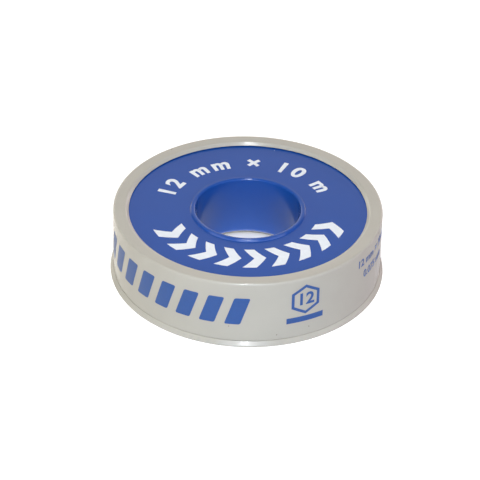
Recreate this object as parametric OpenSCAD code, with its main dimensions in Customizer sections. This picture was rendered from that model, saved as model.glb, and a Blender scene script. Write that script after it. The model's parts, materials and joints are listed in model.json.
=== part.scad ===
// Thread seal tape roll: a tape wound on a spool that turns in a two-piece case.
// Lengths are in millimetres. The Z axis runs up the bore, from the floor that the base stands on.

/* [Tape] */
// Width of the tape
tape_w = 12; // [6:0.5:25]
// Thickness of one layer of tape
tape_t = 0.075; // [0.05:0.005:0.2]
// Length of the tape on the spool, in metres
tape_length_m = 10; // [3:1:20]
// How far the free end of the tape stands off the roll
tape_end_lift = 1; // [0.4:0.1:3]
// Angle over which the free end leaves the roll
tape_end_angle = 60; // [20:5:120]

/* [Spool] */
// Diameter of the bore through the spool
bore_d = 21.8; // [14:0.1:30]
// Wall of the hub tube
hub_wall = 1.35; // [1:0.05:2.5]
// Rounding inside the hub's lower end
hub_mouth_r = 0.8; // [0.2:0.05:0.9]
// Thickness of the disc
disc_t = 0.75; // [0.6:0.05:1.5]
// Rounding of the disc's outer edge
disc_edge_r = 0.2; // [0.1:0.05:0.3]
// Width of the raised bead round the bore
bead_w = 1.1; // [0.8:0.1:2]
// Height of the bead above the disc
bead_h = 0.45; // [0.1:0.05:0.5]
// Rounding of the bead into the bore
bead_bore_r = 0.25; // [0.1:0.05:0.5]

/* [Shell] */
// Thickness of the shell's wall
wall_t = 0.9; // [0.6:0.05:1.5]
// Draft of the wall, in degrees
wall_draft = 0.7; // [0.1:0.1:2]
// Width of the rim that reaches in over the disc
rim_w = 3.2; // [2:0.1:6]
// Thickness of the rim
rim_t = 0.75; // [0.6:0.05:1.5]
// Rounding of the rim's outer corner
rim_outer_r = 0.4; // [0.2:0.05:0.6]
// Upright edge left under the rounding of the rim's inner lip
rim_lip_h = 0.1; // [0.05:0.05:0.4]

/* [Base] */
// Thickness of the base at its flange
base_t = 1; // [0.8:0.05:2]
// How far the flange stands out past the shell's foot
flange_out = 0.65; // [0.3:0.05:1.5]
// Width of the flange's flat ledge, round the shell's foot
flange_ledge = 0.05; // [0.05:0.05:0.2]
// Height of the flange's upright edge, below the slope that falls from the ledge
flange_edge_h = 0.25; // [0.25:0.05:0.6]
// Rounding of the flange's lower edge
flange_foot_r = 0.1; // [0.05:0.05:0.2]
// Height of the ring that locates the shell
ring_h = 2; // [1:0.1:5]
// Wall of that ring
ring_t = 0.9; // [0.6:0.05:1.5]
// Lead-in chamfer round the top of that ring
ring_chamfer = 0.3; // [0.1:0.05:0.5]
// Depth of the seat that the hub turns in
seat_depth = 0.3; // [0.2:0.05:0.5]
// Thickness of the seat's inner edge, above the countersink under it
seat_edge = 0.15; // [0.1:0.05:0.3]
// Depth of the hollow under the base
hollow_depth = 0.3; // [0.1:0.05:0.5]
// Width of the foot round the edge of the hollow
foot_w = 4; // [2:0.1:6]
// Width of the land under the hub's seat
land_w = 2; // [1:0.1:4]

/* [Clearances] */
// Radial clearance of the hub in its seat
hub_gap = 0.1; // [0.05:0.01:0.2]
// Clearance under the hub's end
hub_end_gap = 0.1; // [0.05:0.01:0.2]
// How much wider the hole in the base is than the bore, on the radius
hole_gap = 0.9; // [0.5:0.05:1.1]
// Clearance between the roll and the hub
roll_gap = 0.02; // [0.01:0.01:0.05]
// Clearance above and below the tape
tape_side_gap = 0.1; // [0.05:0.01:0.3]
// Free room outside the free end of the tape
roll_room = 5.35; // [3:0.05:12]
// Clearance between the disc's edge and the shell's wall
disc_gap = 0.5; // [0.3:0.05:1]
// Clearance between the disc and the rim above it
rim_gap = 0.1; // [0.05:0.01:0.3]
// Clearance between the shell and the ring that locates it
ring_gap = 0.05; // [0.03:0.01:0.1]

/* [Hidden] */
$fn = 128;
fillet_fn = 32;
mm_per_m = 1000;
// Cutting shapes reach this far past the faces that they cut
past = 1;
// Sides of the roll's spiral outline in one turn
roll_sides = 96;
// Where the gap under the free end starts, as a share of its angle
tape_end_root = 0.25;

// Heights, from the floor up
seat_z = base_t - seat_depth;
hub_z = seat_z + hub_end_gap;
tape_z = base_t + tape_side_gap;
disc_z = tape_z + tape_w + tape_side_gap;
disc_top = disc_z + disc_t;
rim_z = disc_top + rim_gap;
total_h = rim_z + rim_t;
ring_top = base_t + ring_h;

// Radii, from the bore out
bore_r = bore_d / 2;
hub_r = bore_r + hub_wall;
hole_r = bore_r + hole_gap;
sink_r = hole_r + seat_z - seat_edge;
seat_r = hub_r + hub_gap;
roll_bore_r = hub_r + roll_gap;
roll_r = sqrt(pow(roll_bore_r, 2) + tape_length_m * mm_per_m * tape_t / PI);
ring_in_r = roll_r + tape_end_lift + roll_room;
ring_out_r = ring_in_r + ring_t;
foot_r = wall_r(base_t);
flange_r = foot_r + flange_out;
rim_out_r = wall_r(rim_z);
rim_in_r = rim_out_r - rim_w;
rim_inner_r = rim_t - rim_lip_h;
disc_r = rim_out_r - wall_t - disc_gap;

// Outer radius of the drafted wall at a height: its inside clears the ring at the ring's top
function wall_r(z) = ring_out_r + ring_gap + wall_t - (z - ring_top) * tan(wall_draft);

// Outer radius of the tape, turned through an angle from where its last turn starts
function tape_r(angle) = roll_r + tape_t * angle / 360 + end_lift(angle);

// How far the free end has lifted: nothing until the last turn is complete
function end_lift(angle) =
    angle <= 360 ? 0 : tape_end_lift * (1 - cos(90 * (angle - 360) / tape_end_angle));

function on_turn(radius, angle) = [radius * cos(angle), radius * sin(angle)];

// Cutter that rounds the corner of a profile at [x, z]; side and up say which way the corner points
module corner_cut(x, z, r, side, up) {
    translate([x - side * r, z - up * r])
        difference() {
            translate([side > 0 ? 0 : -r - past, up > 0 ? 0 : -r - past])
                square(r + past);
            circle(r, $fn = fillet_fn);
        }
}

// Disc that closes the case, with a sloped flange, a seat for the hub, countersunk from below so that
// the seat's edge is thin, and a ring that locates the shell
module base() {
    color("#bdbbb0")
        rotate_extrude()
            difference() {
                polygon([
                    [sink_r, 0],
                    [flange_r, 0],
                    [flange_r, flange_edge_h],
                    [foot_r + flange_ledge, base_t],
                    [ring_out_r, base_t],
                    [ring_out_r, ring_top - ring_chamfer],
                    [ring_out_r - ring_chamfer, ring_top],
                    [ring_in_r, ring_top],
                    [ring_in_r, base_t],
                    [seat_r, base_t],
                    [seat_r, seat_z],
                    [hole_r, seat_z],
                    [hole_r, seat_z - seat_edge],
                ]);
                corner_cut(flange_r, 0, flange_foot_r, 1, -1);
                translate([seat_r + land_w, -past])
                    square([flange_r - foot_w - seat_r - land_w, past + hollow_depth]);
            }
}

// Drafted wall that stands on the flange, with a rim that reaches in over the disc
module shell() {
    color("#c3c2b8")
        rotate_extrude()
            difference() {
                polygon([
                    [foot_r, base_t],
                    [rim_out_r, rim_z],
                    [rim_out_r, total_h],
                    [rim_in_r, total_h],
                    [rim_in_r, rim_z],
                    [rim_out_r - wall_t, rim_z],
                    [foot_r - wall_t, base_t],
                ]);
                corner_cut(rim_out_r, total_h, rim_outer_r, 1, 1);
                corner_cut(rim_in_r, total_h, rim_inner_r, -1, 1);
            }
}

// Hub tube and disc in one moulding, with a raised bead round the mouth of the bore
module spool() {
    color("#3f5fa8")
        rotate_extrude()
            difference() {
                polygon([
                    [bore_r, hub_z],
                    [bore_r, disc_top + bead_h],
                    [bore_r + bead_w, disc_top + bead_h],
                    [bore_r + bead_w, disc_top],
                    [disc_r, disc_top],
                    [disc_r, disc_z],
                    [hub_r, disc_z],
                    [hub_r, hub_z],
                ]);
                corner_cut(bore_r, hub_z, hub_mouth_r, -1, -1);
                corner_cut(bore_r, disc_top + bead_h, bead_bore_r, -1, 1);
                corner_cut(bore_r + bead_w, disc_top + bead_h, bead_h, 1, 1);
                corner_cut(disc_r, disc_top, disc_edge_r, 1, 1);
                corner_cut(disc_r, disc_z, disc_edge_r, 1, -1);
            }
}

// Roll of tape: the turns under the last one lie tight and are one ring, and the last turn spirals
// out over them to a free end that stands off the roll
module tape() {
    step = 360 / roll_sides;
    root = tape_end_root * tape_end_angle;
    tip = 360 + tape_end_angle;
    outside = [for (angle = [root : step : tip]) on_turn(tape_r(angle), angle)];
    under = [for (angle = [tip : -step : 360 + root]) on_turn(tape_r(angle) - tape_t, angle)];
    color("#f4f4f0")
        translate([0, 0, tape_z])
            linear_extrude(tape_w)
                difference() {
                    polygon(concat(outside, under));
                    circle(roll_bore_r);
                }
}

base();
shell();
spool();
tape();
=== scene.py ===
"""Looks of a thread seal tape roll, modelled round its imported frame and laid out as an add-on."""

import json
import math

import bmesh
import bpy
from bpy.props import FloatProperty, FloatVectorProperty, IntProperty, PointerProperty, StringProperty
from mathutils import Matrix, Vector


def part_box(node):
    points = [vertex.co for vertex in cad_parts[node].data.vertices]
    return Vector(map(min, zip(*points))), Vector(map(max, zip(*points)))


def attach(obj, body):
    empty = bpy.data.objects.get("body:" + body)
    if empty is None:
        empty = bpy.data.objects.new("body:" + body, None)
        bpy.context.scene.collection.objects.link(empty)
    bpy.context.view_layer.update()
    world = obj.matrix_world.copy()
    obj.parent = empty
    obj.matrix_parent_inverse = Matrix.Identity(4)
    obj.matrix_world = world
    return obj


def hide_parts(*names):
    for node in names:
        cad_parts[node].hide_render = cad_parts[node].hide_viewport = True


bl_info = {
    "name": "Thread Seal Tape Roll",
    "version": (1, 0, 0),
    "blender": (4, 5, 0),
    "location": "View3D > Sidebar > Seal Tape",
    "description": "Models a roll of thread seal tape that turns in a two-piece case",
    "category": "Add Mesh",
}

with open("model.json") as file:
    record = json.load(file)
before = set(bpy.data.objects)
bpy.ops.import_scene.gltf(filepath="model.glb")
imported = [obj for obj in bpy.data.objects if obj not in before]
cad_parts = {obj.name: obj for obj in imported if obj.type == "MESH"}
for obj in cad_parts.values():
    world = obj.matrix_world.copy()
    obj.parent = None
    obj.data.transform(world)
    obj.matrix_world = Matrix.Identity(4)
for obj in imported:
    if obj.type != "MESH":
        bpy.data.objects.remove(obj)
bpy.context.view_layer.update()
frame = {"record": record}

MM = 0.001
# Sides of a turned piece, and of the rounding of one corner
TURN_STEPS = 256
CORNER_STEPS = 5
# Points closer than this are one point
WELD = 0.001 * MM
# Width of the slices that let a printed mark follow the round wall
SLICE = 0.6 * MM
# Share of a text's size that its digits are high
DIGIT_SHARE = 0.7
# Edges that bend more than this stay sharp
SHARP_ANGLE = math.radians(35)

base_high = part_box("base")[1]
shell_low, shell_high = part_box("shell")
spool_low, spool_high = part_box("spool")
tape_low, tape_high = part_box("tape")
bore_mount = next(mount for mount in frame["record"]["mounts"] if mount["name"] == "bore")
BORE_RADIUS = bore_mount["dims"]["r_mm"] * MM


def linear(code):
    """Linear colour of an sRGB hex code."""
    shares = [int(code[place:place + 2], 16) / 255 for place in (1, 3, 5)]
    return tuple(s / 12.92 if s <= 0.04045 else ((s + 0.055) / 1.055) ** 2.4 for s in shares)


# Settings

def length(name, description, default):
    """A length that a user can change."""
    return FloatProperty(
        name=name, description=description, default=default, min=0, precision=5, unit="LENGTH"
    )


def angle(name, description, degrees):
    """An angle that a user can change, given in degrees."""
    default = math.radians(degrees)
    return FloatProperty(
        name=name, description=description, default=default, subtype="ANGLE", unit="ROTATION"
    )


def colour(name, description, code):
    """A colour that a user can change, given as an sRGB hex code."""
    return FloatVectorProperty(
        name=name, description=description, default=linear(code), size=3, min=0, max=1, subtype="COLOR"
    )


def number(name, description, default):
    """A number without a unit that a user can change."""
    return FloatProperty(name=name, description=description, default=default, min=0)


def power(name, description, watts):
    """The power of a lamp, which a user can change."""
    return FloatProperty(name=name, description=description, default=watts, min=0, unit="POWER")


def whole(name, description, default, least, most):
    """A whole number that a user can change."""
    return IntProperty(name=name, description=description, default=default, min=least, max=most)


class ShellSettings(bpy.types.PropertyGroup):
    """Sizes of the shell and plastic of the case; the shell's height and foot come from the frame."""

    wall: length("Wall", "Thickness of the wall", 0.9 * MM)
    draft: angle("Draft", "Lean of the wall towards the axis", 0.7)
    rim_width: length("Rim Width", "Width of the rim that reaches in over the disc", 3.2 * MM)
    rim_thickness: length("Rim Thickness", "Thickness of the rim", 0.75 * MM)
    rim_outer_round: length("Rim Corner", "Rounding of the rim's outer corner", 0.4 * MM)
    rim_lip: length("Rim Lip", "Width of the slope round the rim's inner edge", 0.65 * MM)
    lip_round: length("Lip Edge", "Rounding of that slope's upper edge", 0.15 * MM)
    under_height: length("Undercut Height", "Height of the chamfer under the inner edge", 0.15 * MM)
    under_width: length("Undercut Width", "Width of that chamfer", 0.4 * MM)
    seam_round: length("Seam", "Rounding of the foot, which draws the seam above the flange", 0.14 * MM)
    edge_round: length("Edges", "Rounding of the other edges", 0.05 * MM)
    plastic: colour("Plastic", "Colour of the case", "#adaa9f")
    speck: colour("Specks", "Colour of stray specks in that plastic", "#6f6d66")
    roughness: number("Roughness", "Roughness of that plastic", 0.18)


class BaseSettings(bpy.types.PropertyGroup):
    """Sizes of the base; its height and flange come from the frame."""

    flange_ledge: length("Flange Ledge", "Width of the flat ledge round the shell's foot", 0.05 * MM)
    flange_edge: length("Flange Edge", "Height of the flange's upright edge, below its slope", 0.25 * MM)
    flange_round: length("Flange Round", "Rounding of the flange's edges", 0.1 * MM)
    ring_wall: length("Ring Wall", "Wall of the ring that locates the shell", 0.9 * MM)
    ring_clearance: length("Ring Clearance", "Clearance between that ring and the shell", 0.05 * MM)
    ring_round: length("Ring Edge", "Rounding round the top of that ring", 0.3 * MM)
    hub_clearance: length("Hub Clearance", "Clearance of the hub in its seat", 0.1 * MM)
    hole_clearance: length("Hole Clearance", "How much wider the hole is than the bore", 0.9 * MM)
    seat_edge: length("Seat Edge", "Thickness of the seat's inner edge above its countersink", 0.15 * MM)
    hollow_depth: length("Hollow Depth", "Depth of the hollow under the base", 0.3 * MM)
    foot_width: length("Foot Width", "Width of the foot round the hollow", 4 * MM)
    land_width: length("Land Width", "Width of the land under the hub's seat", 2 * MM)
    edge_round: length("Edges", "Rounding of the other edges", 0.1 * MM)


class SpoolSettings(bpy.types.PropertyGroup):
    """Sizes and colour of the spool; its height and disc come from the frame, its bore from the mount."""

    hub_wall: length("Hub Wall", "Wall of the hub tube", 1.35 * MM)
    hub_mouth_height: length("Mouth Height", "Height of the chamfer in the hub's lower end", 0.8 * MM)
    hub_mouth_width: length("Mouth Width", "Width of that chamfer", 0.6 * MM)
    hub_mouth_round: length("Mouth Edges", "Rounding of that chamfer's edges", 0.1 * MM)
    disc_thickness: length("Disc Thickness", "Thickness of the disc", 0.75 * MM)
    disc_round: length("Disc Edge", "Rounding of the disc's edges and the hub's lower edge", 0.2 * MM)
    bead_width: length("Bead Width", "Width of the bead round the bore", 1.1 * MM)
    bead_height: length("Bead Height", "Height of the bead above the disc", 0.45 * MM)
    bead_bore_round: length("Bead Mouth", "Rounding of the bead into the bore", 0.4 * MM)
    bead_slope: length("Bead Slope", "How far the bead's outer side leans in", 0.26 * MM)
    bead_round: length("Bead Edge", "Rounding of the bead's outer edge", 0.05 * MM)
    plastic: colour("Plastic", "Colour of the spool", "#124694")
    speck: colour("Specks", "Colour of stray specks in that plastic", "#93a9da")
    roughness: number("Roughness", "Roughness of that plastic", 0.17)


class TapeSettings(bpy.types.PropertyGroup):
    """Sizes and colour of the tape; its width comes from the frame."""

    reach: length("Length", "Length of the tape on the spool", 10)
    film: length("Film", "Thickness of one layer", 0.075 * MM)
    film_share: number("Film Share", "Share of it that a loose turn fills", 0.9)
    hub_clearance: length("Hub Clearance", "Clearance between the roll and the hub", 0.02 * MM)
    loose_turns: whole("Loose Turns", "Outer turns that are modelled as a spiral", 3, 1, 6)
    turn_steps: whole("Turn Steps", "Straight steps in one spiral turn", 96, 24, 192)
    end_lift: length("End Lift", "How far the free end stands off the roll", 1 * MM)
    end_angle: angle("End Angle", "Angle over which the free end leaves the roll", 60)
    white: colour("Film White", "Colour of the film", "#f2f2ee")
    roughness: number("Roughness", "Roughness of the film", 0.55)


class PrintSettings(bpy.types.PropertyGroup):
    """Sizes and colours of the plain marks printed on the disc and the wall."""

    ink: length("Ink", "Thickness of the printed ink", 0.03 * MM)
    size_mark: StringProperty(
        name="Size Mark",
        description="Width of the tape and its length on the spool",
        default="12 mm × 10 m",
    )
    film_mark: StringProperty(name="Film Mark", description="Thickness of the tape", default="0.075 mm")
    width_mark: StringProperty(name="Width Mark", description="Width of the tape alone", default="12")
    disc_row: length("Disc Row", "Radius of the middle of the marks on the disc", 17.8 * MM)
    disc_digits: length("Disc Digits", "Height of the digits on the disc", 3.7 * MM)
    disc_digits_weight: length("Digits Weight", "How far their outlines are swelled", 0.18 * MM)
    disc_digits_spacing: number("Digits Spacing", "Their spacing, where 1 is normal", 1.4)
    disc_digits_turn: angle("Digits Turn", "Turn of the digits from the far side", 5)
    arrow_count: whole("Arrows", "Arrowheads on the disc", 9, 1, 14)
    arrow_height: length("Arrow Height", "Height of an arrowhead", 6.2 * MM)
    arrow_stroke: length("Arrow Stroke", "Width of its stroke", 2.4 * MM)
    arrow_point: length("Arrow Point", "How far its point stands out", 2.2 * MM)
    arrow_pitch: length("Arrow Pitch", "Step from one arrowhead to the next", 5 * MM)
    arrow_turn: angle("Arrow Turn", "Turn of the row from the near side", 5)
    bar_count: whole("Bars", "Slanted bars in one row on the wall", 8, 1, 12)
    bar_height: length("Bar Height", "Height of a slanted bar", 6.3 * MM)
    bar_width: length("Bar Width", "Width of a slanted bar", 3.2 * MM)
    bar_pitch: length("Bar Pitch", "Step from one bar to the next", 5.2 * MM)
    bar_slant: length("Bar Slant", "How far a bar's top leans along the wall", 2 * MM)
    bar_round: length("Bar Corner", "Rounding of a bar's corners", 0.4 * MM)
    bar_middle: length("Bar Middle", "Height of the middle of the bars above the floor", 8.2 * MM)
    bar_turn: angle("Bar Turn", "Angle of the middle of the row from the front", -41)
    nut_width: length("Nut Width", "Width of the hexagon on the wall, across its corners", 7 * MM)
    nut_line: length("Nut Line", "Width of its line", 0.6 * MM)
    nut_middle: length("Nut Middle", "Height of its middle above the floor", 9.75 * MM)
    nut_turn: angle("Nut Turn", "Angle of its middle from the front", 25)
    nut_digits: number("Nut Digits", "Height of the digits in it, as a share of its width", 5 / 13)
    nut_digits_weight: length("Nut Digits Weight", "How far their outlines are swelled", 0.1 * MM)
    strip_width: length("Strip Width", "Width of the plain strip under the hexagon", 8 * MM)
    strip_height: length("Strip Height", "Height of that strip", 1.3 * MM)
    strip_middle: length("Strip Middle", "Height of the strip's middle above the floor", 5.15 * MM)
    wall_digits: length("Wall Digits", "Height of the small digits on the wall", 1.7 * MM)
    wall_digits_weight: length("Wall Digits Weight", "How far their outlines are swelled", 0.04 * MM)
    wall_digits_turn: angle("Wall Digits Turn", "Angle of their middle from the front", 68)
    wall_digits_top: length("Wall Digits Top", "Height of their upper line above the floor", 11.8 * MM)
    wall_digits_low: length("Wall Digits Low", "Height of their lower line above the floor", 8.6 * MM)
    white: colour("White Ink", "Colour of the marks on the disc", "#d9dfe3")
    white_roughness: number("White Roughness", "Roughness of that ink", 0.5)
    blue: colour("Blue Ink", "Colour of the marks on the wall", "#204b8b")
    blue_roughness: number("Blue Roughness", "Roughness of that ink", 0.4)


class StageSettings(bpy.types.PropertyGroup):
    """Floor, light and camera."""

    floor_width: length("Floor Width", "Width of the floor", 3)
    floor_drop: length("Floor Drop", "How far below the roll the floor lies", 0.05 * MM)
    floor_white: colour("Floor", "Colour of the floor", "#d6d6d4")
    floor_roughness: number("Floor Roughness", "Roughness of the floor", 0.6)
    floor_glow: number("Floor Glow", "Glow of the floor as the camera sees it", 0.5)
    # Painted reflection: the floor glows only for the rays that the case mirrors, brighter on the left and
    # tinted warm, which paints a warm reflection on the wall of the case, stronger on its left
    left_glow: number("Left Glow", "Glow of the floor on the left as the case mirrors it", 0.45)
    right_glow: number("Right Glow", "Glow of the floor on the right as the case mirrors it", 0)
    glow_white: colour("Mirrored Glow", "Colour of the floor's glow as the case mirrors it", "#fff6e4")
    bore_glow: number("Bore Glow", "Glow of the floor in the bore as the camera sees it", 0.3)
    # In the bore the floor's glow paints a reflection in the hub and a pool of bounce light that lights
    # the hub
    bore_mirror: number("Bore Mirror", "Glow of the floor in the bore as the hub mirrors it", 0.42)
    bore_bounce: number("Bore Bounce", "Glow of the lit back of that floor, which lights the hub", 2)
    left_white: colour("Left Side", "Colour of the surroundings on the left", "#fcf8ea")
    right_white: colour("Right Side", "Colour of the surroundings on the right", "#fff0ee")
    sky_strength: number("Surroundings", "Brightness all round", 0.3)
    back_strength: number("Backdrop", "Added brightness behind the roll", 0.45)
    band_strength: number("Backdrop Band", "Added brightness of a band low on the backdrop", 2.6)
    front_white: colour("Front Lamp", "Colour of the front lamp and of the reflectors", "#f8fbff")
    front_power: power("Front Power", "Power of the front lamp, a tall strip", 1.36)
    front_width: length("Front Width", "Width of the front lamp", 0.02)
    front_length: length("Front Length", "Height of the front lamp", 0.4)
    front_distance: length("Front Distance", "Distance of the front lamp", 0.42)
    front_height: angle("Front Height", "Height of the front lamp above the floor", 58)
    front_turn: angle("Front Turn", "Turn of the front lamp to the right of the camera", -0.2)
    fill_white: colour("Fill Lamp", "Colour of the low fill lamp", "#d4e4ff")
    fill_power: power("Fill Power", "Power of the fill lamp", 2)
    fill_size: length("Fill Size", "Width and height of the fill lamp", 0.4)
    fill_distance: length("Fill Distance", "Distance of the fill lamp", 0.6)
    fill_height: angle("Fill Height", "Height of the fill lamp above the floor", 22)
    left_card_white: colour("Left Card", "Colour of the bounce card on the left", "#ffe8bc")
    left_card_power: power("Left Card Power", "Light that the left card throws", 0.5)
    left_card_turn: angle("Left Card Turn", "Turn of the left card from the camera", -80)
    right_card_white: colour("Right Card", "Colour of the bounce card on the right", "#ffc8e0")
    right_card_power: power("Right Card Power", "Light that the right card throws", 0.45)
    right_card_turn: angle("Right Card Turn", "Turn of the right card from the camera", 108)
    card_width: length("Card Width", "Width of a card", 0.4)
    card_length: length("Card Length", "Height of a card", 0.16)
    card_distance: length("Card Distance", "Distance of a card", 0.5)
    card_height: angle("Card Height", "Height of a card above the floor", 10)
    mirror_power: power("Reflector Power", "Light that a reflector throws", 0.4)
    mirror_width: length("Reflector Width", "Width of a reflector", 0.58)
    mirror_length: length("Reflector Length", "Height of a reflector", 0.1)
    mirror_distance: length("Reflector Distance", "Distance of a reflector", 0.6)
    mirror_height: angle("Reflector Height", "Height of a reflector above the floor", 22.5)
    mirror_turn: angle("Reflector Turn", "Turn of a reflector to its side of the camera", 47)
    camera_distance: length("Camera Distance", "Distance of the camera", 415.4 * MM)
    camera_height: angle("Camera Height", "Height of the camera above the floor", 34.39)
    camera_roll: angle("Camera Roll", "Roll of the camera", 1.3)
    camera_lens: FloatProperty(name="Lens", description="Focal length", default=149.5, unit="CAMERA")
    aim_height: length("Aim Height", "Height of the point that the camera aims at", 8 * MM)
    aim_right: length("Aim Right", "How far right of the image's middle that point lies", 1.54 * MM)
    aim_up: length("Aim Up", "How far above the image's middle that point lies", 1.43 * MM)


class RollSettings(bpy.types.PropertyGroup):
    """All settings of the roll."""

    shell: PointerProperty(type=ShellSettings)
    base: PointerProperty(type=BaseSettings)
    spool: PointerProperty(type=SpoolSettings)
    tape: PointerProperty(type=TapeSettings)
    print: PointerProperty(type=PrintSettings)
    stage: PointerProperty(type=StageSettings)


# Places that several pieces share

def wall_radius(shell, height):
    """Outer radius of the shell's leaning wall at a height."""
    return shell_high.x - (height - shell_low.z) * math.tan(shell.draft)


def print_radius(shell):
    """Outer radius of the wall at its middle, where the marks are wrapped."""
    return wall_radius(shell, (shell_low.z + shell_high.z) / 2)


def rim_underside(shell):
    """Height of the rim's underside, where the wall ends."""
    return shell_high.z - shell.rim_thickness


def disc_top(spool):
    """Height of the disc's upper face."""
    return spool_high.z - spool.bead_height


def hub_radius(spool):
    """Outer radius of the hub tube."""
    return BORE_RADIUS + spool.hub_wall


def seat_height(base):
    """Height of the seat under the hub's end."""
    return spool_low.z - base.hub_clearance


def sink_radius(base):
    """Radius of the base's hole at the floor, at the foot of its countersink."""
    return BORE_RADIUS + base.hole_clearance + seat_height(base) - base.seat_edge


# Modelling steps

def add_piece(name, add, **settings):
    """Adds a primitive with its place in its mesh, and leaves it alone in the selection."""
    bpy.ops.object.select_all(action="DESELECT")
    add(**settings)
    piece = bpy.context.object
    piece.name = name
    piece.data.name = name
    return piece


def settle():
    """Moves the selected objects' places into their meshes."""
    bpy.ops.object.transform_apply(location=True, rotation=True, scale=True)


def only(piece):
    """Makes a piece the whole selection."""
    bpy.ops.object.select_all(action="DESELECT")
    piece.select_set(True)
    bpy.context.view_layer.objects.active = piece


def edit(piece):
    """Opens a piece in edit mode with everything selected."""
    only(piece)
    bpy.ops.object.mode_set(mode="EDIT")
    bpy.ops.mesh.select_all(action="SELECT")


def leave_edit():
    """Goes back to object mode."""
    bpy.ops.object.mode_set(mode="OBJECT")


def select_points(piece, test):
    """Selects the points that pass a test, and the edges and faces between them, in edit mode."""
    bpy.ops.mesh.select_all(action="DESELECT")
    mesh = bmesh.from_edit_mesh(piece.data)
    for point in mesh.verts:
        point.select_set(test(point.co))
    mesh.select_flush(True)
    bmesh.update_edit_mesh(piece.data)


def extrude(x, y, z):
    """Extrudes the selection by a step."""
    bpy.ops.mesh.extrude_region_move(TRANSFORM_OT_translate={"value": (x, y, z)})


def draw_line(name, points):
    """Draws a line by extruding one point from place to place, and leaves it in edit mode."""
    piece = add_piece(name, bpy.ops.mesh.primitive_plane_add, size=MM, location=points[0])
    settle()
    edit(piece)
    bpy.ops.mesh.merge(type="CENTER")
    for start, end in zip(points, points[1:]):
        extrude(*(end - start))
    return piece


def turn_section(name, corners):
    """Turns a closed cross-section round the axis. A corner is a radius, a height and a rounding."""
    points = [Vector((radius, 0, height)) for radius, height, rounding in corners]
    piece = draw_line(name, points)
    bpy.ops.mesh.select_all(action="SELECT")
    bpy.ops.mesh.edge_face_add()
    for point, (radius, height, rounding) in zip(points, corners):
        if rounding:
            select_points(piece, lambda place: (place - point).length < WELD)
            bpy.ops.mesh.bevel(offset=rounding, segments=CORNER_STEPS, affect="VERTICES")
    bpy.ops.mesh.select_all(action="SELECT")
    bpy.ops.mesh.delete(type="ONLY_FACE")
    bpy.ops.mesh.select_all(action="SELECT")
    bpy.ops.mesh.spin(steps=TURN_STEPS, angle=math.tau, center=(0, 0, 0), axis=(0, 0, 1))
    close_mesh()
    leave_edit()
    return piece


def close_mesh():
    """Merges the doubled points of the open piece and points its faces outwards."""
    bpy.ops.mesh.select_all(action="SELECT")
    bpy.ops.mesh.remove_doubles(threshold=WELD)
    bpy.ops.mesh.normals_make_consistent(inside=False)


def apply_modifier(piece, kind, **settings):
    """Adds a modifier with its settings and applies it."""
    only(piece)
    modifier = piece.modifiers.new(kind.lower(), kind)
    for name, value in settings.items():
        setattr(modifier, name, value)
    bpy.ops.object.modifier_apply(modifier=modifier.name)


def join(name, pieces):
    """Joins pieces into the first, and names it."""
    only(pieces[0])
    for piece in pieces[1:]:
        piece.select_set(True)
    if len(pieces) > 1:
        bpy.ops.object.join()
    pieces[0].name = name
    pieces[0].data.name = name
    return pieces[0]


def finish_piece(piece, body, material):
    """Smooths a finished piece, dresses it and lets it ride on its body."""
    only(piece)
    bpy.ops.object.shade_smooth_by_angle(angle=SHARP_ANGLE)
    apply_modifier(piece, "WEIGHTED_NORMAL", keep_sharp=True)
    piece.data.materials.clear()
    piece.data.materials.append(material)
    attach(piece, body)


# Materials

# Inputs of a node that mixes two colours
COLOUR_A = 6
COLOUR_B = 7
# Refractive index of each material
PLASTIC_IOR = 1.49
FILM_IOR = 1.35
INK_IOR = 1.5
# Widths and depths of the patterns in moulded plastic, in millimetres
FLOW_WIDTH = 9
SPECK_PITCH = 3.2
SPECK_WIDTH = 0.224
PATCH_WIDTH = 2.5
# The grain is about 0.1 mm wide on the real skin; it is drawn wider so that it shows
GRAIN_WIDTH = 0.3
GRAIN_DEPTH = 0.0015
WAVE_WIDTH = 14
WAVE_DEPTH = 0.05
# How much moulded plastic's colour and roughness vary, and the share of the pattern's cells with a speck
FLOW_SHARE = 0.06
PATCH_ROUGHNESS = 0.04
SPECK_SHARE = 0.28
# Length, pitch and depth of the film's streaks in millimetres, and their shade
STREAK_LENGTH = 10 / 3
STREAK_PITCH = 0.1
STREAK_DEPTH = 0.05
STREAK_SHADE = 0.93
# Width of the ink's mottle in millimetres, its two shades, and how much its roughness varies
INK_WIDTH = 0.8
INK_DARK = 0.9
INK_LIGHT = 1.08
INK_ROUGHNESS = 0.06


def add_node(tree, kind, inputs=None, **settings):
    """Adds a node with its settings, and sets its inputs or links them. A node that is given as an input
    is linked by its first output in use."""
    node = tree.nodes.new("ShaderNode" + kind)
    for name, value in settings.items():
        setattr(node, name, value)
    for name, value in (inputs or {}).items():
        if isinstance(value, bpy.types.Node):
            value = next(output for output in value.outputs if output.enabled)
        if isinstance(value, bpy.types.NodeSocket):
            tree.links.new(value, node.inputs[name])
        else:
            node.inputs[name].default_value = value
    return node


def new_material(name):
    """A material with an empty node tree, and the place on the piece in millimetres."""
    material = bpy.data.materials.new(name)
    material.use_nodes = True
    tree = material.node_tree
    tree.nodes.clear()
    place = add_node(tree, "TexCoord").outputs["Object"]
    millimetres = add_node(tree, "VectorMath", {0: place, "Scale": 1 / MM}, operation="SCALE")
    return material, tree, millimetres


def shade(material, tree, **inputs):
    """Gives a material its surface shader."""
    named = {name.replace("_", " "): value for name, value in inputs.items()}
    shader = add_node(tree, "BsdfPrincipled", named)
    add_node(tree, "OutputMaterial", {"Surface": shader})
    return material


def tint(hue, share):
    """A colour made lighter or darker by a share, with full alpha."""
    return tuple(min(1, part * share) for part in hue) + (1,)


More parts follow.
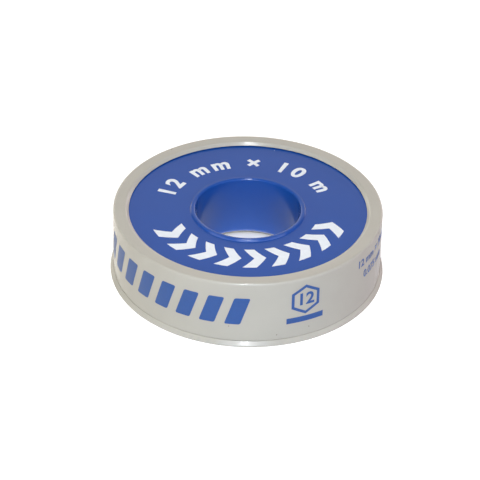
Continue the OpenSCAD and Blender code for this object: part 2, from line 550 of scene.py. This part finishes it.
def moulded_polypropylene(name, settings):
    """Injection-moulded polypropylene: an even satin skin with a faint flow mottle, a fine eroded grain
    that blurs reflections, a slow waviness from shrinking, and stray specks of dust and pigment."""
    material, tree, place = new_material(name)
    flow = add_node(tree, "TexNoise", {"Vector": place, "Scale": 1 / FLOW_WIDTH, "Detail": 3})
    base = add_node(
        tree,
        "Mix",
        {
            "Factor": flow,
            COLOUR_A: tint(settings.plastic, 1 - FLOW_SHARE),
            COLOUR_B: tint(settings.plastic, 1 + FLOW_SHARE),
        },
        data_type="RGBA",
    )
    # Specks sit in some of the cells of a scattered pattern
    cells = add_node(tree, "TexVoronoi", {"Vector": place, "Scale": 1 / SPECK_PITCH})
    near = add_node(tree, "Math", {0: cells, 1: SPECK_WIDTH / 2 / SPECK_PITCH}, operation="LESS_THAN")
    draw = add_node(tree, "SeparateColor", {"Color": cells.outputs["Color"]})
    chosen = add_node(
        tree, "Math", {0: draw.outputs["Red"], 1: 1 - SPECK_SHARE}, operation="GREATER_THAN"
    )
    share = add_node(tree, "Math", {0: near, 1: chosen}, operation="MULTIPLY")
    specked = add_node(
        tree,
        "Mix",
        {"Factor": share, COLOUR_A: base, COLOUR_B: tint(settings.speck, 1)},
        data_type="RGBA",
    )
    patch = add_node(tree, "TexNoise", {"Vector": place, "Scale": 1 / PATCH_WIDTH, "Detail": 2})
    gloss = add_node(
        tree,
        "MapRange",
        {
            "Value": patch,
            "To Min": settings.roughness - PATCH_ROUGHNESS,
            "To Max": settings.roughness + PATCH_ROUGHNESS,
        },
    )
    grain = add_node(tree, "TexNoise", {"Vector": place, "Scale": 1 / GRAIN_WIDTH, "Detail": 2})
    fine = add_node(tree, "Bump", {"Height": grain, "Distance": GRAIN_DEPTH * MM, "Strength": 1})
    wave = add_node(tree, "TexNoise", {"Vector": place, "Scale": 1 / WAVE_WIDTH, "Detail": 1})
    bumps = add_node(
        tree, "Bump", {"Height": wave, "Distance": WAVE_DEPTH * MM, "Strength": 1, "Normal": fine}
    )
    return shade(material, tree, Base_Color=specked, Roughness=gloss, IOR=PLASTIC_IOR, Normal=bumps)


def case_plastic(settings):
    """Light grey polypropylene of the base and the shell, which are moulded from one batch."""
    name = "grey polypropylene, satin moulded"
    return bpy.data.materials.get(name) or moulded_polypropylene(name, settings)


def spool_plastic(settings):
    """Ultramarine polypropylene of the spool, a little glossier than the case."""
    return moulded_polypropylene("blue polypropylene, moulded", settings)


def seal_film(settings):
    """Unsintered PTFE film: chalk white and soft to the eye, with fine lengthwise streaks from rolling."""
    material, tree, place = new_material("PTFE film, rolled")
    # Streaks run round the roll, so the pattern is squeezed along the height
    squeeze = (1 / STREAK_LENGTH, 1 / STREAK_LENGTH, 1 / STREAK_PITCH)
    squeezed = add_node(tree, "Mapping", {"Vector": place, "Scale": squeeze})
    streak = add_node(tree, "TexNoise", {"Vector": squeezed, "Scale": 1, "Detail": 4})
    base = add_node(
        tree,
        "Mix",
        {
            "Factor": streak,
            COLOUR_A: tint(settings.white, STREAK_SHADE),
            COLOUR_B: tint(settings.white, 1),
        },
        data_type="RGBA",
    )
    bumps = add_node(tree, "Bump", {"Height": streak, "Distance": STREAK_DEPTH * MM, "Strength": 1})
    return shade(
        material, tree, Base_Color=base, Roughness=settings.roughness, IOR=FILM_IOR, Normal=bumps
    )


def printing_ink(name, hue, roughness):
    """Pad-printed ink: a thin even film, a little uneven where the pad lifted, with pinholes too small
    to show drawn as a soft mottle."""
    material, tree, place = new_material(name)
    mottle = add_node(tree, "TexNoise", {"Vector": place, "Scale": 1 / INK_WIDTH, "Detail": 3})
    base = add_node(
        tree,
        "Mix",
        {"Factor": mottle, COLOUR_A: tint(hue, INK_DARK), COLOUR_B: tint(hue, INK_LIGHT)},
        data_type="RGBA",
    )
    gloss = add_node(
        tree,
        "MapRange",
        {"Value": mottle, "To Min": roughness - INK_ROUGHNESS, "To Max": roughness + INK_ROUGHNESS},
    )
    return shade(material, tree, Base_Color=base, Roughness=gloss, IOR=INK_IOR)


# Pieces

class SEALTAPE_OT_base(bpy.types.Operator):
    """Model the base that closes the case from below"""

    bl_idname = "sealtape.base"
    bl_label = "Base"

    def execute(self, context):
        roll = context.scene.seal_tape
        base = roll.base
        plate_top = shell_low.z
        hole = BORE_RADIUS + base.hole_clearance
        seat = hub_radius(roll.spool) + base.hub_clearance
        seat_floor = seat_height(base)
        flange = base_high.x
        ring_out = wall_radius(roll.shell, base_high.z) - roll.shell.wall - base.ring_clearance
        ring_in = ring_out - base.ring_wall
        land = seat + base.land_width
        foot = flange - base.foot_width
        piece = turn_section("case_base", [
            (sink_radius(base), 0, base.edge_round),
            (land, 0, base.edge_round),
            (land, base.hollow_depth, base.edge_round),
            (foot, base.hollow_depth, base.edge_round),
            (foot, 0, base.edge_round),
            (flange, 0, base.flange_round),
            (flange, base.flange_edge, base.flange_round),
            (shell_high.x + base.flange_ledge, plate_top, 0),
            (ring_out, plate_top, 0),
            (ring_out, base_high.z, base.ring_round),
            (ring_in, base_high.z, base.edge_round),
            (ring_in, plate_top, 0),
            (seat, plate_top, base.edge_round),
            (seat, seat_floor, 0),
            (hole, seat_floor, 0),
            (hole, seat_floor - base.seat_edge, 0),
        ])
        finish_piece(piece, "base", case_plastic(roll.shell))
        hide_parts("base")
        return {"FINISHED"}


class SEALTAPE_OT_shell(bpy.types.Operator):
    """Model the wall and the rim that hold the spool in"""

    bl_idname = "sealtape.shell"
    bl_label = "Shell"

    def execute(self, context):
        shell = context.scene.seal_tape.shell
        foot = shell_high.x
        foot_height = shell_low.z
        top = shell_high.z
        rim_height = rim_underside(shell)
        rim_out = wall_radius(shell, rim_height)
        rim_in = rim_out - shell.rim_width
        piece = turn_section("case_shell", [
            (foot, foot_height, shell.seam_round),
            (rim_out, rim_height, 0),
            (rim_out, top, shell.rim_outer_round),
            (rim_in + shell.rim_lip, top, shell.lip_round),
            (rim_in, rim_height + shell.under_height, shell.edge_round),
            (rim_in + shell.under_width, rim_height, shell.edge_round),
            (rim_out - shell.wall, rim_height, 0),
            (foot - shell.wall, foot_height, shell.edge_round),
        ])
        finish_piece(piece, "shell", case_plastic(shell))
        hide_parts("shell")
        return {"FINISHED"}


class SEALTAPE_OT_spool(bpy.types.Operator):
    """Model the disc and the hub tube that the tape is wound on"""

    bl_idname = "sealtape.spool"
    bl_label = "Spool"

    def execute(self, context):
        spool = context.scene.seal_tape.spool
        top = disc_top(spool)
        under = top - spool.disc_thickness
        hub = hub_radius(spool)
        bead = BORE_RADIUS + spool.bead_width
        piece = turn_section("blue_spool", [
            (BORE_RADIUS + spool.hub_mouth_width, spool_low.z, spool.hub_mouth_round),
            (BORE_RADIUS, spool_low.z + spool.hub_mouth_height, spool.hub_mouth_round),
            (BORE_RADIUS, spool_high.z, spool.bead_bore_round),
            (bead - spool.bead_slope, spool_high.z, spool.bead_round),
            (bead, top, 0),
            (spool_high.x, top, spool.disc_round),
            (spool_high.x, under, spool.disc_round),
            (hub, under, 0),
            (hub, spool_low.z, spool.disc_round),
        ])
        finish_piece(piece, "spool", spool_plastic(spool))
        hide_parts("spool")
        return {"FINISHED"}


class SEALTAPE_OT_tape(bpy.types.Operator):
    """Wind the tape on the hub, with its outer turns as a spiral that ends free"""

    bl_idname = "sealtape.tape"
    bl_label = "Tape"

    def execute(self, context):
        roll = context.scene.seal_tape
        tape = roll.tape
        bore = hub_radius(roll.spool) + tape.hub_clearance
        roll_radius = math.sqrt(bore ** 2 + tape.reach * tape.film / math.pi)
        inner_turns = tape.loose_turns - 1

        def spiral(step):
            turned = math.tau * step / tape.turn_steps
            past = max(0, turned - math.tau) / tape.end_angle
            lift = tape.end_lift * (1 - math.cos(past * math.pi / 2))
            radius = roll_radius + tape.film * turned / math.tau + lift
            return Vector((radius * math.cos(turned), radius * math.sin(turned), tape_low.z))

        first = -inner_turns * tape.turn_steps
        last = round(tape.turn_steps * (1 + tape.end_angle / math.tau))
        ribbon = draw_line("ribbon", [spiral(step) for step in range(first, last + 1)])
        bpy.ops.mesh.select_all(action="SELECT")
        extrude(0, 0, tape_high.z - tape_low.z)
        close_mesh()
        leave_edit()
        apply_modifier(ribbon, "SOLIDIFY", thickness=tape.film_share * tape.film, offset=0)
        core = roll_radius - (inner_turns + 0.5) * tape.film
        wound = turn_section("wound", [
            (bore, tape_low.z, 0),
            (core, tape_low.z, 0),
            (core, tape_high.z, 0),
            (bore, tape_high.z, 0),
        ])
        piece = join("tape_roll", [wound, ribbon])
        finish_piece(piece, "spool", seal_film(tape))
        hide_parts("tape")
        return {"FINISHED"}


# Printed marks

def flat_digits(text, height, weight, spacing=1):
    """Plain digits of this height, flat on the ground with their middle at the origin."""
    piece = add_piece("digits", bpy.ops.object.text_add)
    digits = piece.data
    digits.body = text
    digits.align_x = "CENTER"
    digits.align_y = "CENTER"
    digits.space_character = spacing
    digits.size = height / DIGIT_SHARE
    digits.offset = weight
    bpy.ops.object.convert(target="MESH")
    piece = bpy.context.object
    edit(piece)
    bpy.ops.mesh.remove_doubles(threshold=WELD)
    leave_edit()
    return piece


def flat_plate(name, width, height):
    """A flat rectangle on the ground with its middle at the origin."""
    plate = add_piece(name, bpy.ops.mesh.primitive_plane_add, size=1)
    plate.scale = (width, height, 1)
    settle()
    return plate


def slice_upright(piece):
    """Cuts a piece into upright slices, so that it can bend along X."""
    low = min(corner[0] for corner in piece.bound_box)
    high = max(corner[0] for corner in piece.bound_box)
    edit(piece)
    for cut in range(1, math.ceil((high - low) / SLICE)):
        bpy.ops.mesh.select_all(action="SELECT")
        bpy.ops.mesh.bisect(plane_co=(low + cut * SLICE, 0, 0), plane_no=(1, 0, 0))
    leave_edit()


def bend(piece, radius):
    """Bends a flat piece round an arc whose middle is this far along Y; below zero, it bends back."""
    bpy.context.view_layer.update()
    apply_modifier(
        piece, "SIMPLE_DEFORM", deform_method="BEND", deform_axis="Z", angle=piece.dimensions.x / radius
    )


def move(piece, x, y, z):
    """Moves a piece within its mesh."""
    edit(piece)
    bpy.ops.transform.translate(value=(x, y, z))
    leave_edit()


def turn(piece, about, by):
    """Turns a piece about an axis through the origin, within its mesh."""
    only(piece)
    piece.rotation_euler = Matrix.Rotation(by, 3, about).to_euler()
    settle()


def row(name, piece, count, pitch):
    """Copies a piece along X into a row with its middle at the origin, and joins the copies."""
    copies = [piece]
    for place in range(1, count):
        only(piece)
        bpy.ops.object.duplicate()
        copy = bpy.context.object
        move(copy, place * pitch, 0, 0)
        copies.append(copy)
    joined = join(name, copies)
    move(joined, -pitch * (count - 1) / 2, 0, 0)
    return joined


class SEALTAPE_OT_disc_print(bpy.types.Operator):
    """Print plain numbers and arrowheads on the disc"""

    bl_idname = "sealtape.disc_print"
    bl_label = "Disc Print"

    def execute(self, context):
        roll = context.scene.seal_tape
        marks = roll.print
        ink = printing_ink("white pad-printing ink", marks.white, marks.white_roughness)
        digits = flat_digits(
            marks.size_mark, marks.disc_digits, marks.disc_digits_weight, marks.disc_digits_spacing
        )
        bend(digits, -marks.disc_row)
        move(digits, 0, marks.disc_row, disc_top(roll.spool))
        turn(digits, "Z", marks.disc_digits_turn)
        digits.name = "disc_numbers"

        arrow = flat_plate("arrow", marks.arrow_stroke, marks.arrow_height)
        edit(arrow)
        bpy.ops.mesh.subdivide(number_cuts=1)
        select_points(arrow, lambda place: abs(place.y) < WELD)
        bpy.ops.transform.translate(value=(marks.arrow_point, 0, 0))
        # Each half is cut again, so that it bends with the row
        bpy.ops.mesh.select_all(action="SELECT")
        bpy.ops.mesh.subdivide(number_cuts=2)
        leave_edit()
        move(arrow, -marks.arrow_point / 2, 0, 0)
        arrows = row("disc_arrows", arrow, marks.arrow_count, marks.arrow_pitch)
        bend(arrows, marks.disc_row)
        move(arrows, 0, -marks.disc_row, disc_top(roll.spool))
        turn(arrows, "Z", marks.arrow_turn)

        for piece in (digits, arrows):
            apply_modifier(piece, "SOLIDIFY", thickness=marks.ink, offset=1)
            finish_piece(piece, "spool", ink)
        return {"FINISHED"}


def wrap_on_wall(name, flat, shell, ink):
    """Stands a flat mark up, wraps it on the wall, copies it to the other side and gives it its thickness.
    The mark's X is the way round the wall from the front, and its Y the height above the floor."""
    turn(flat, "X", math.pi / 2)
    slice_upright(flat)
    radius = print_radius(shell)
    bend(flat, radius)
    move(flat, 0, -radius, 0)
    only(flat)
    bpy.ops.object.duplicate()
    copy = bpy.context.object
    turn(copy, "Z", math.pi)
    mark = join(name, [flat, copy])
    apply_modifier(
        mark,
        "SHRINKWRAP",
        target=bpy.data.objects["case_shell"],
        wrap_method="NEAREST_SURFACEPOINT",
        wrap_mode="ABOVE_SURFACE",
    )
    apply_modifier(mark, "SOLIDIFY", thickness=ink, offset=1)
    return mark


class SEALTAPE_OT_wall_print(bpy.types.Operator):
    """Print slanted bars, a hexagon and plain numbers on the wall"""

    bl_idname = "sealtape.wall_print"
    bl_label = "Wall Print"

    def execute(self, context):
        roll = context.scene.seal_tape
        marks = roll.print
        radius = print_radius(roll.shell)
        bar = flat_plate("bar", marks.bar_width, marks.bar_height)
        edit(bar)
        select_points(bar, lambda place: place.y > 0)
        bpy.ops.transform.translate(value=(marks.bar_slant, 0, 0))
        bpy.ops.mesh.select_all(action="SELECT")
        bpy.ops.mesh.bevel(offset=marks.bar_round, segments=CORNER_STEPS, affect="VERTICES")
        leave_edit()
        move(bar, -marks.bar_slant / 2, 0, 0)
        bars = row("bars", bar, marks.bar_count, marks.bar_pitch)
        move(bars, radius * marks.bar_turn, marks.bar_middle, 0)

        nut = add_piece(
            "nut",
            bpy.ops.mesh.primitive_circle_add,
            vertices=6,
            radius=marks.nut_width / 2,
            fill_type="NGON",
        )
        edit(nut)
        bpy.ops.mesh.inset(thickness=marks.nut_line)
        bpy.ops.mesh.delete(type="FACE")
        leave_edit()
        nut_digits_height = marks.nut_width * marks.nut_digits
        width_digits = flat_digits(marks.width_mark, nut_digits_height, marks.nut_digits_weight)
        nut = join("nut", [nut, width_digits])
        move(nut, 0, marks.nut_middle - marks.strip_middle, 0)
        strip = flat_plate("strip", marks.strip_width, marks.strip_height)
        stamp = join("stamp", [nut, strip])
        move(stamp, radius * marks.nut_turn, marks.strip_middle, 0)

        upper = flat_digits(marks.size_mark, marks.wall_digits, marks.wall_digits_weight)
        move(upper, 0, marks.wall_digits_top - marks.wall_digits_low, 0)
        lower = flat_digits(marks.film_mark, marks.wall_digits, marks.wall_digits_weight)
        lines = join("lines", [upper, lower])
        move(lines, radius * marks.wall_digits_turn, marks.wall_digits_low, 0)

        ink = printing_ink("blue pad-printing ink", marks.blue, marks.blue_roughness)
        for name, flat in (("wall_bars", bars), ("wall_stamp", stamp), ("wall_numbers", lines)):
            piece = wrap_on_wall(name, flat, roll.shell, marks.ink)
            finish_piece(piece, "shell", ink)
        return {"FINISHED"}


# Stage

# How far back a direction points where the backdrop starts and where it is full, at about 60 and 30
# degrees from straight behind
BACKDROP_START = 0.5
BACKDROP_FULL = 0.87
# How far up a direction points where the backdrop's bright band starts, is full, fades and ends, from
# about 5 to 27 degrees above the floor
BAND_START = 0.08
BAND_FULL = 0.2
BAND_FADE = 0.25
BAND_END = 0.45


def floor_with_painted_light(roll):
    """A white floor that glows, with painted light in its glow. The glow is set apart for what the camera
    sees, for what the plastic mirrors, which paints reflections on the case, and for what lights the
    plastic, which paints bounce light on the hub."""
    stage = roll.stage
    material, tree, place = new_material("white floor with painted glow")
    ray = add_node(tree, "LightPath")
    seen = ray.outputs["Is Camera Ray"]
    lighting = ray.outputs["Is Diffuse Ray"]
    across = add_node(tree, "SeparateXYZ", {"Vector": place})
    # Painted reflection: for the rays that the case mirrors, the glow fades from the left of the case to
    # its right
    mirrored = add_node(
        tree,
        "MapRange",
        {
            "Value": across.outputs["X"],
            "From Min": shell_low.x / MM,
            "From Max": shell_high.x / MM,
            "To Min": stage.left_glow,
            "To Max": stage.right_glow,
        },
    )
    shown = add_node(tree, "Mix", {"Factor": seen, "A": mirrored, "B": stage.floor_glow})
    around = add_node(tree, "Mix", {"Factor": lighting, "A": shown, "B": 0})
    # Painted bounce light: the front lamp reaches the back of the bore's floor, and that part glows to
    # light the hub; for the rays that the hub mirrors, the bore's floor glows as a painted reflection
    lit = add_node(
        tree,
        "MapRange",
        {
            "Value": across.outputs["Y"],
            "From Min": 0,
            "From Max": BORE_RADIUS / MM / 2,
            "To Max": stage.bore_bounce,
        },
    )
    thrown = add_node(tree, "Mix", {"Factor": lighting, "A": stage.bore_mirror, "B": lit})
    within = add_node(tree, "Mix", {"Factor": seen, "A": thrown, "B": stage.bore_glow})
    # The floor glows round the case and in the bore, and stays dark under the case
    out = add_node(tree, "VectorMath", {0: place}, operation="LENGTH").outputs["Value"]
    clear = add_node(tree, "Math", {0: out, 1: shell_high.x / MM}, operation="GREATER_THAN")
    # The glow shows as far as the foot of the countersink, and lights only what is above the bore
    reach = add_node(
        tree, "Mix", {"Factor": lighting, "A": sink_radius(roll.base) / MM, "B": BORE_RADIUS / MM}
    )
    inside = add_node(tree, "Math", {0: out, 1: reach}, operation="LESS_THAN")
    # Only the glow that the case mirrors, its painted reflection, is tinted
    plain = add_node(tree, "Math", {0: inside, 1: seen}, operation="MAXIMUM")
    hue = add_node(
        tree,
        "Mix",
        {"Factor": plain, COLOUR_A: tint(stage.glow_white, 1), COLOUR_B: (1, 1, 1, 1)},
        data_type="RGBA",
    )
    bore = add_node(tree, "Math", {0: inside, 1: within}, operation="MULTIPLY")
    glow = add_node(tree, "Math", {0: clear, 1: around, 2: bore}, operation="MULTIPLY_ADD")
    return shade(
        material,
        tree,
        Base_Color=tint(stage.floor_white, 1),
        Roughness=stage.floor_roughness,
        Emission_Color=hue,
        Emission_Strength=glow,
    )


def surroundings(stage):
    """A white room with a tint on either side, and a backdrop with a bright band behind the roll."""
    world = bpy.data.worlds.new("white surroundings")
    world.use_nodes = True
    tree = world.node_tree
    tree.nodes.clear()
    direction = add_node(tree, "TexCoord").outputs["Generated"]
    parts = add_node(tree, "SeparateXYZ", {"Vector": direction})
    across = add_node(tree, "MapRange", {"Value": parts.outputs["X"], "From Min": -1})
    white = add_node(
        tree,
        "Mix",
        {"Factor": across, COLOUR_A: tint(stage.left_white, 1), COLOUR_B: tint(stage.right_white, 1)},
        data_type="RGBA",
    )
    behind = add_node(
        tree,
        "MapRange",
        {"Value": parts.outputs["Y"], "From Min": BACKDROP_START, "From Max": BACKDROP_FULL},
        interpolation_type="SMOOTHSTEP",
    )
    rise = add_node(
        tree,
        "MapRange",
        {
            "Value": parts.outputs["Z"],
            "From Min": BAND_START,
            "From Max": BAND_FULL,
            "To Max": stage.band_strength,
        },
        interpolation_type="SMOOTHSTEP",
    )
    fall = add_node(
        tree,
        "MapRange",
        {"Value": parts.outputs["Z"], "From Min": BAND_END, "From Max": BAND_FADE},
        interpolation_type="SMOOTHSTEP",
    )
    backdrop = add_node(
        tree, "Math", {0: rise, 1: fall, 2: stage.back_strength}, operation="MULTIPLY_ADD"
    )
    strength = add_node(
        tree, "Math", {0: behind, 1: backdrop, 2: stage.sky_strength}, operation="MULTIPLY_ADD"
    )
    background = add_node(tree, "Background", {"Color": white, "Strength": strength})
    add_node(tree, "OutputWorld", {"Surface": background})
    return world


def add_lamp(name, distance, height, turned):
    """Adds an area lamp that points at the roll, at a height and a turn to the right of the camera."""
    place = Vector((0, -math.cos(height), math.sin(height)))
    place.rotate(Matrix.Rotation(turned, 3, "Z"))
    rotation = place.to_track_quat("Z", "Y").to_euler()
    bpy.ops.object.light_add(type="AREA", location=place * distance, rotation=rotation)
    lamp = bpy.context.object
    lamp.name = name
    return lamp


def light_lamp(lamp, width, height, watts, white):
    """Gives a lamp its size, its power and its colour."""
    lamp.data.shape = "RECTANGLE"
    lamp.data.size = width
    lamp.data.size_y = height
    lamp.data.energy = watts
    lamp.data.color = white


def add_camera(stage):
    """Adds the camera at the photograph's angle."""
    back = Vector((0, -math.cos(stage.camera_height), math.sin(stage.camera_height)))
    turned = back.to_track_quat("Z", "Y").to_matrix() @ Matrix.Rotation(stage.camera_roll, 3, "Z")
    middle = Vector((0, 0, stage.aim_height)) - turned @ Vector((stage.aim_right, stage.aim_up, 0))
    place = middle + back * stage.camera_distance
    bpy.ops.object.camera_add(location=place, rotation=turned.to_euler())
    camera = bpy.context.object
    camera.data.lens = stage.camera_lens
    camera.data.clip_start = 1 * MM
    return camera


class SEALTAPE_OT_stage(bpy.types.Operator):
    """Set up the floor, the light and the camera"""

    bl_idname = "sealtape.stage"
    bl_label = "Stage"

    def execute(self, context):
        roll = context.scene.seal_tape
        stage = roll.stage
        floor = add_piece("floor", bpy.ops.mesh.primitive_plane_add, size=stage.floor_width)
        move(floor, 0, 0, -stage.floor_drop)
        floor.data.materials.append(floor_with_painted_light(roll))

        context.scene.world = surroundings(stage)
        context.scene.view_settings.view_transform = "Standard"
        context.scene.cycles.caustics_reflective = False

        front = add_lamp("front_lamp", stage.front_distance, stage.front_height, stage.front_turn)
        light_lamp(front, stage.front_width, stage.front_length, stage.front_power, stage.front_white)
        fill = add_lamp("fill_lamp", stage.fill_distance, stage.fill_height, 0)
        light_lamp(fill, stage.fill_size, stage.fill_size, stage.fill_power, stage.fill_white)
        cards = (
            ("left_card", stage.left_card_turn, stage.left_card_power, stage.left_card_white),
            ("right_card", stage.right_card_turn, stage.right_card_power, stage.right_card_white),
        )
        for name, turned, watts, white in cards:
            card = add_lamp(name, stage.card_distance, stage.card_height, turned)
            light_lamp(card, stage.card_width, stage.card_length, watts, white)
            # The cards are set to light the plastic without showing in it
            card.visible_glossy = False
        reflectors = (("left_reflector", -stage.mirror_turn), ("right_reflector", stage.mirror_turn))
        for name, turned in reflectors:
            mirror = add_lamp(name, stage.mirror_distance, stage.mirror_height, turned)
            light_lamp(
                mirror, stage.mirror_width, stage.mirror_length, stage.mirror_power, stage.front_white
            )
            # The reflectors are set to show in the plastic without lighting it
            mirror.visible_diffuse = False

        context.scene.camera = add_camera(stage)
        return {"FINISHED"}


class SEALTAPE_PT_panel(bpy.types.Panel):
    """Buttons for every piece of the roll"""

    bl_label = "Seal Tape Roll"
    bl_space_type = "VIEW_3D"
    bl_region_type = "UI"
    bl_category = "Seal Tape"

    def draw(self, context):
        for piece in PIECES:
            self.layout.operator(piece.bl_idname)


PIECES = (
    SEALTAPE_OT_stage,
    SEALTAPE_OT_base,
    SEALTAPE_OT_shell,
    SEALTAPE_OT_spool,
    SEALTAPE_OT_tape,
    SEALTAPE_OT_disc_print,
    SEALTAPE_OT_wall_print,
)
SETTINGS = (
    ShellSettings,
    BaseSettings,
    SpoolSettings,
    TapeSettings,
    PrintSettings,
    StageSettings,
    RollSettings,
)
CLASSES = SETTINGS + PIECES + (SEALTAPE_PT_panel,)


def register():
    for made in CLASSES:
        bpy.utils.register_class(made)
    bpy.types.Scene.seal_tape = PointerProperty(type=RollSettings)


def unregister():
    del bpy.types.Scene.seal_tape
    for made in reversed(CLASSES):
        bpy.utils.unregister_class(made)


def main():
    register()
    bpy.ops.sealtape.stage()
    bpy.ops.sealtape.base()
    bpy.ops.sealtape.shell()
    bpy.ops.sealtape.spool()
    bpy.ops.sealtape.tape()
    bpy.ops.sealtape.disc_print()
    bpy.ops.sealtape.wall_print()


if __name__ == "__main__":
    main()
